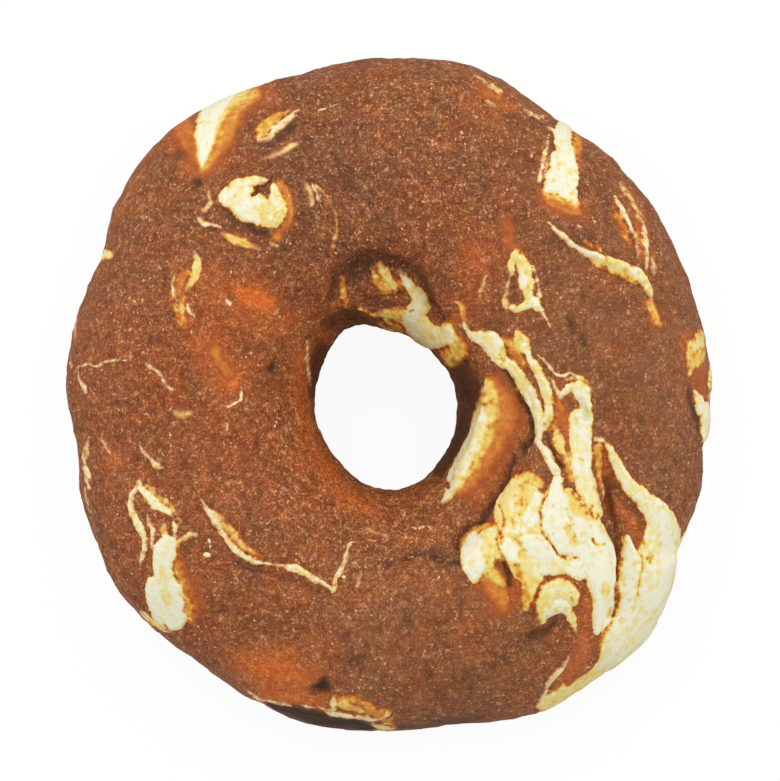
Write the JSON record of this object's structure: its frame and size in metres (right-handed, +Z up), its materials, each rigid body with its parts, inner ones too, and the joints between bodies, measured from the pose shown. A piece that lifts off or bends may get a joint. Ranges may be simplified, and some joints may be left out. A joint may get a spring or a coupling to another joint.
{
  "type": "savory doughnut",
  "caption": "Ring of rolled brown savory dough, lumpy and folded, with pale cheese marbling, an off-centre oval hole and a flat underside.",
  "frame": {"origin": "on the surface that the ring lies on, under the middle of its plan", "axes": "+Z up through the hole, the big pale patch towards +X and -Y"},
  "size_m": [0.0963, 0.1008, 0.0322],
  "materials": {
    "brown_dough": "finely grained brown dough with a semi-matt skin, marbled with pale cream and amber cheese"
  },
  "bodies": {
    "root": {"doughnut": "brown_dough"}
  },
  "joints": []
}
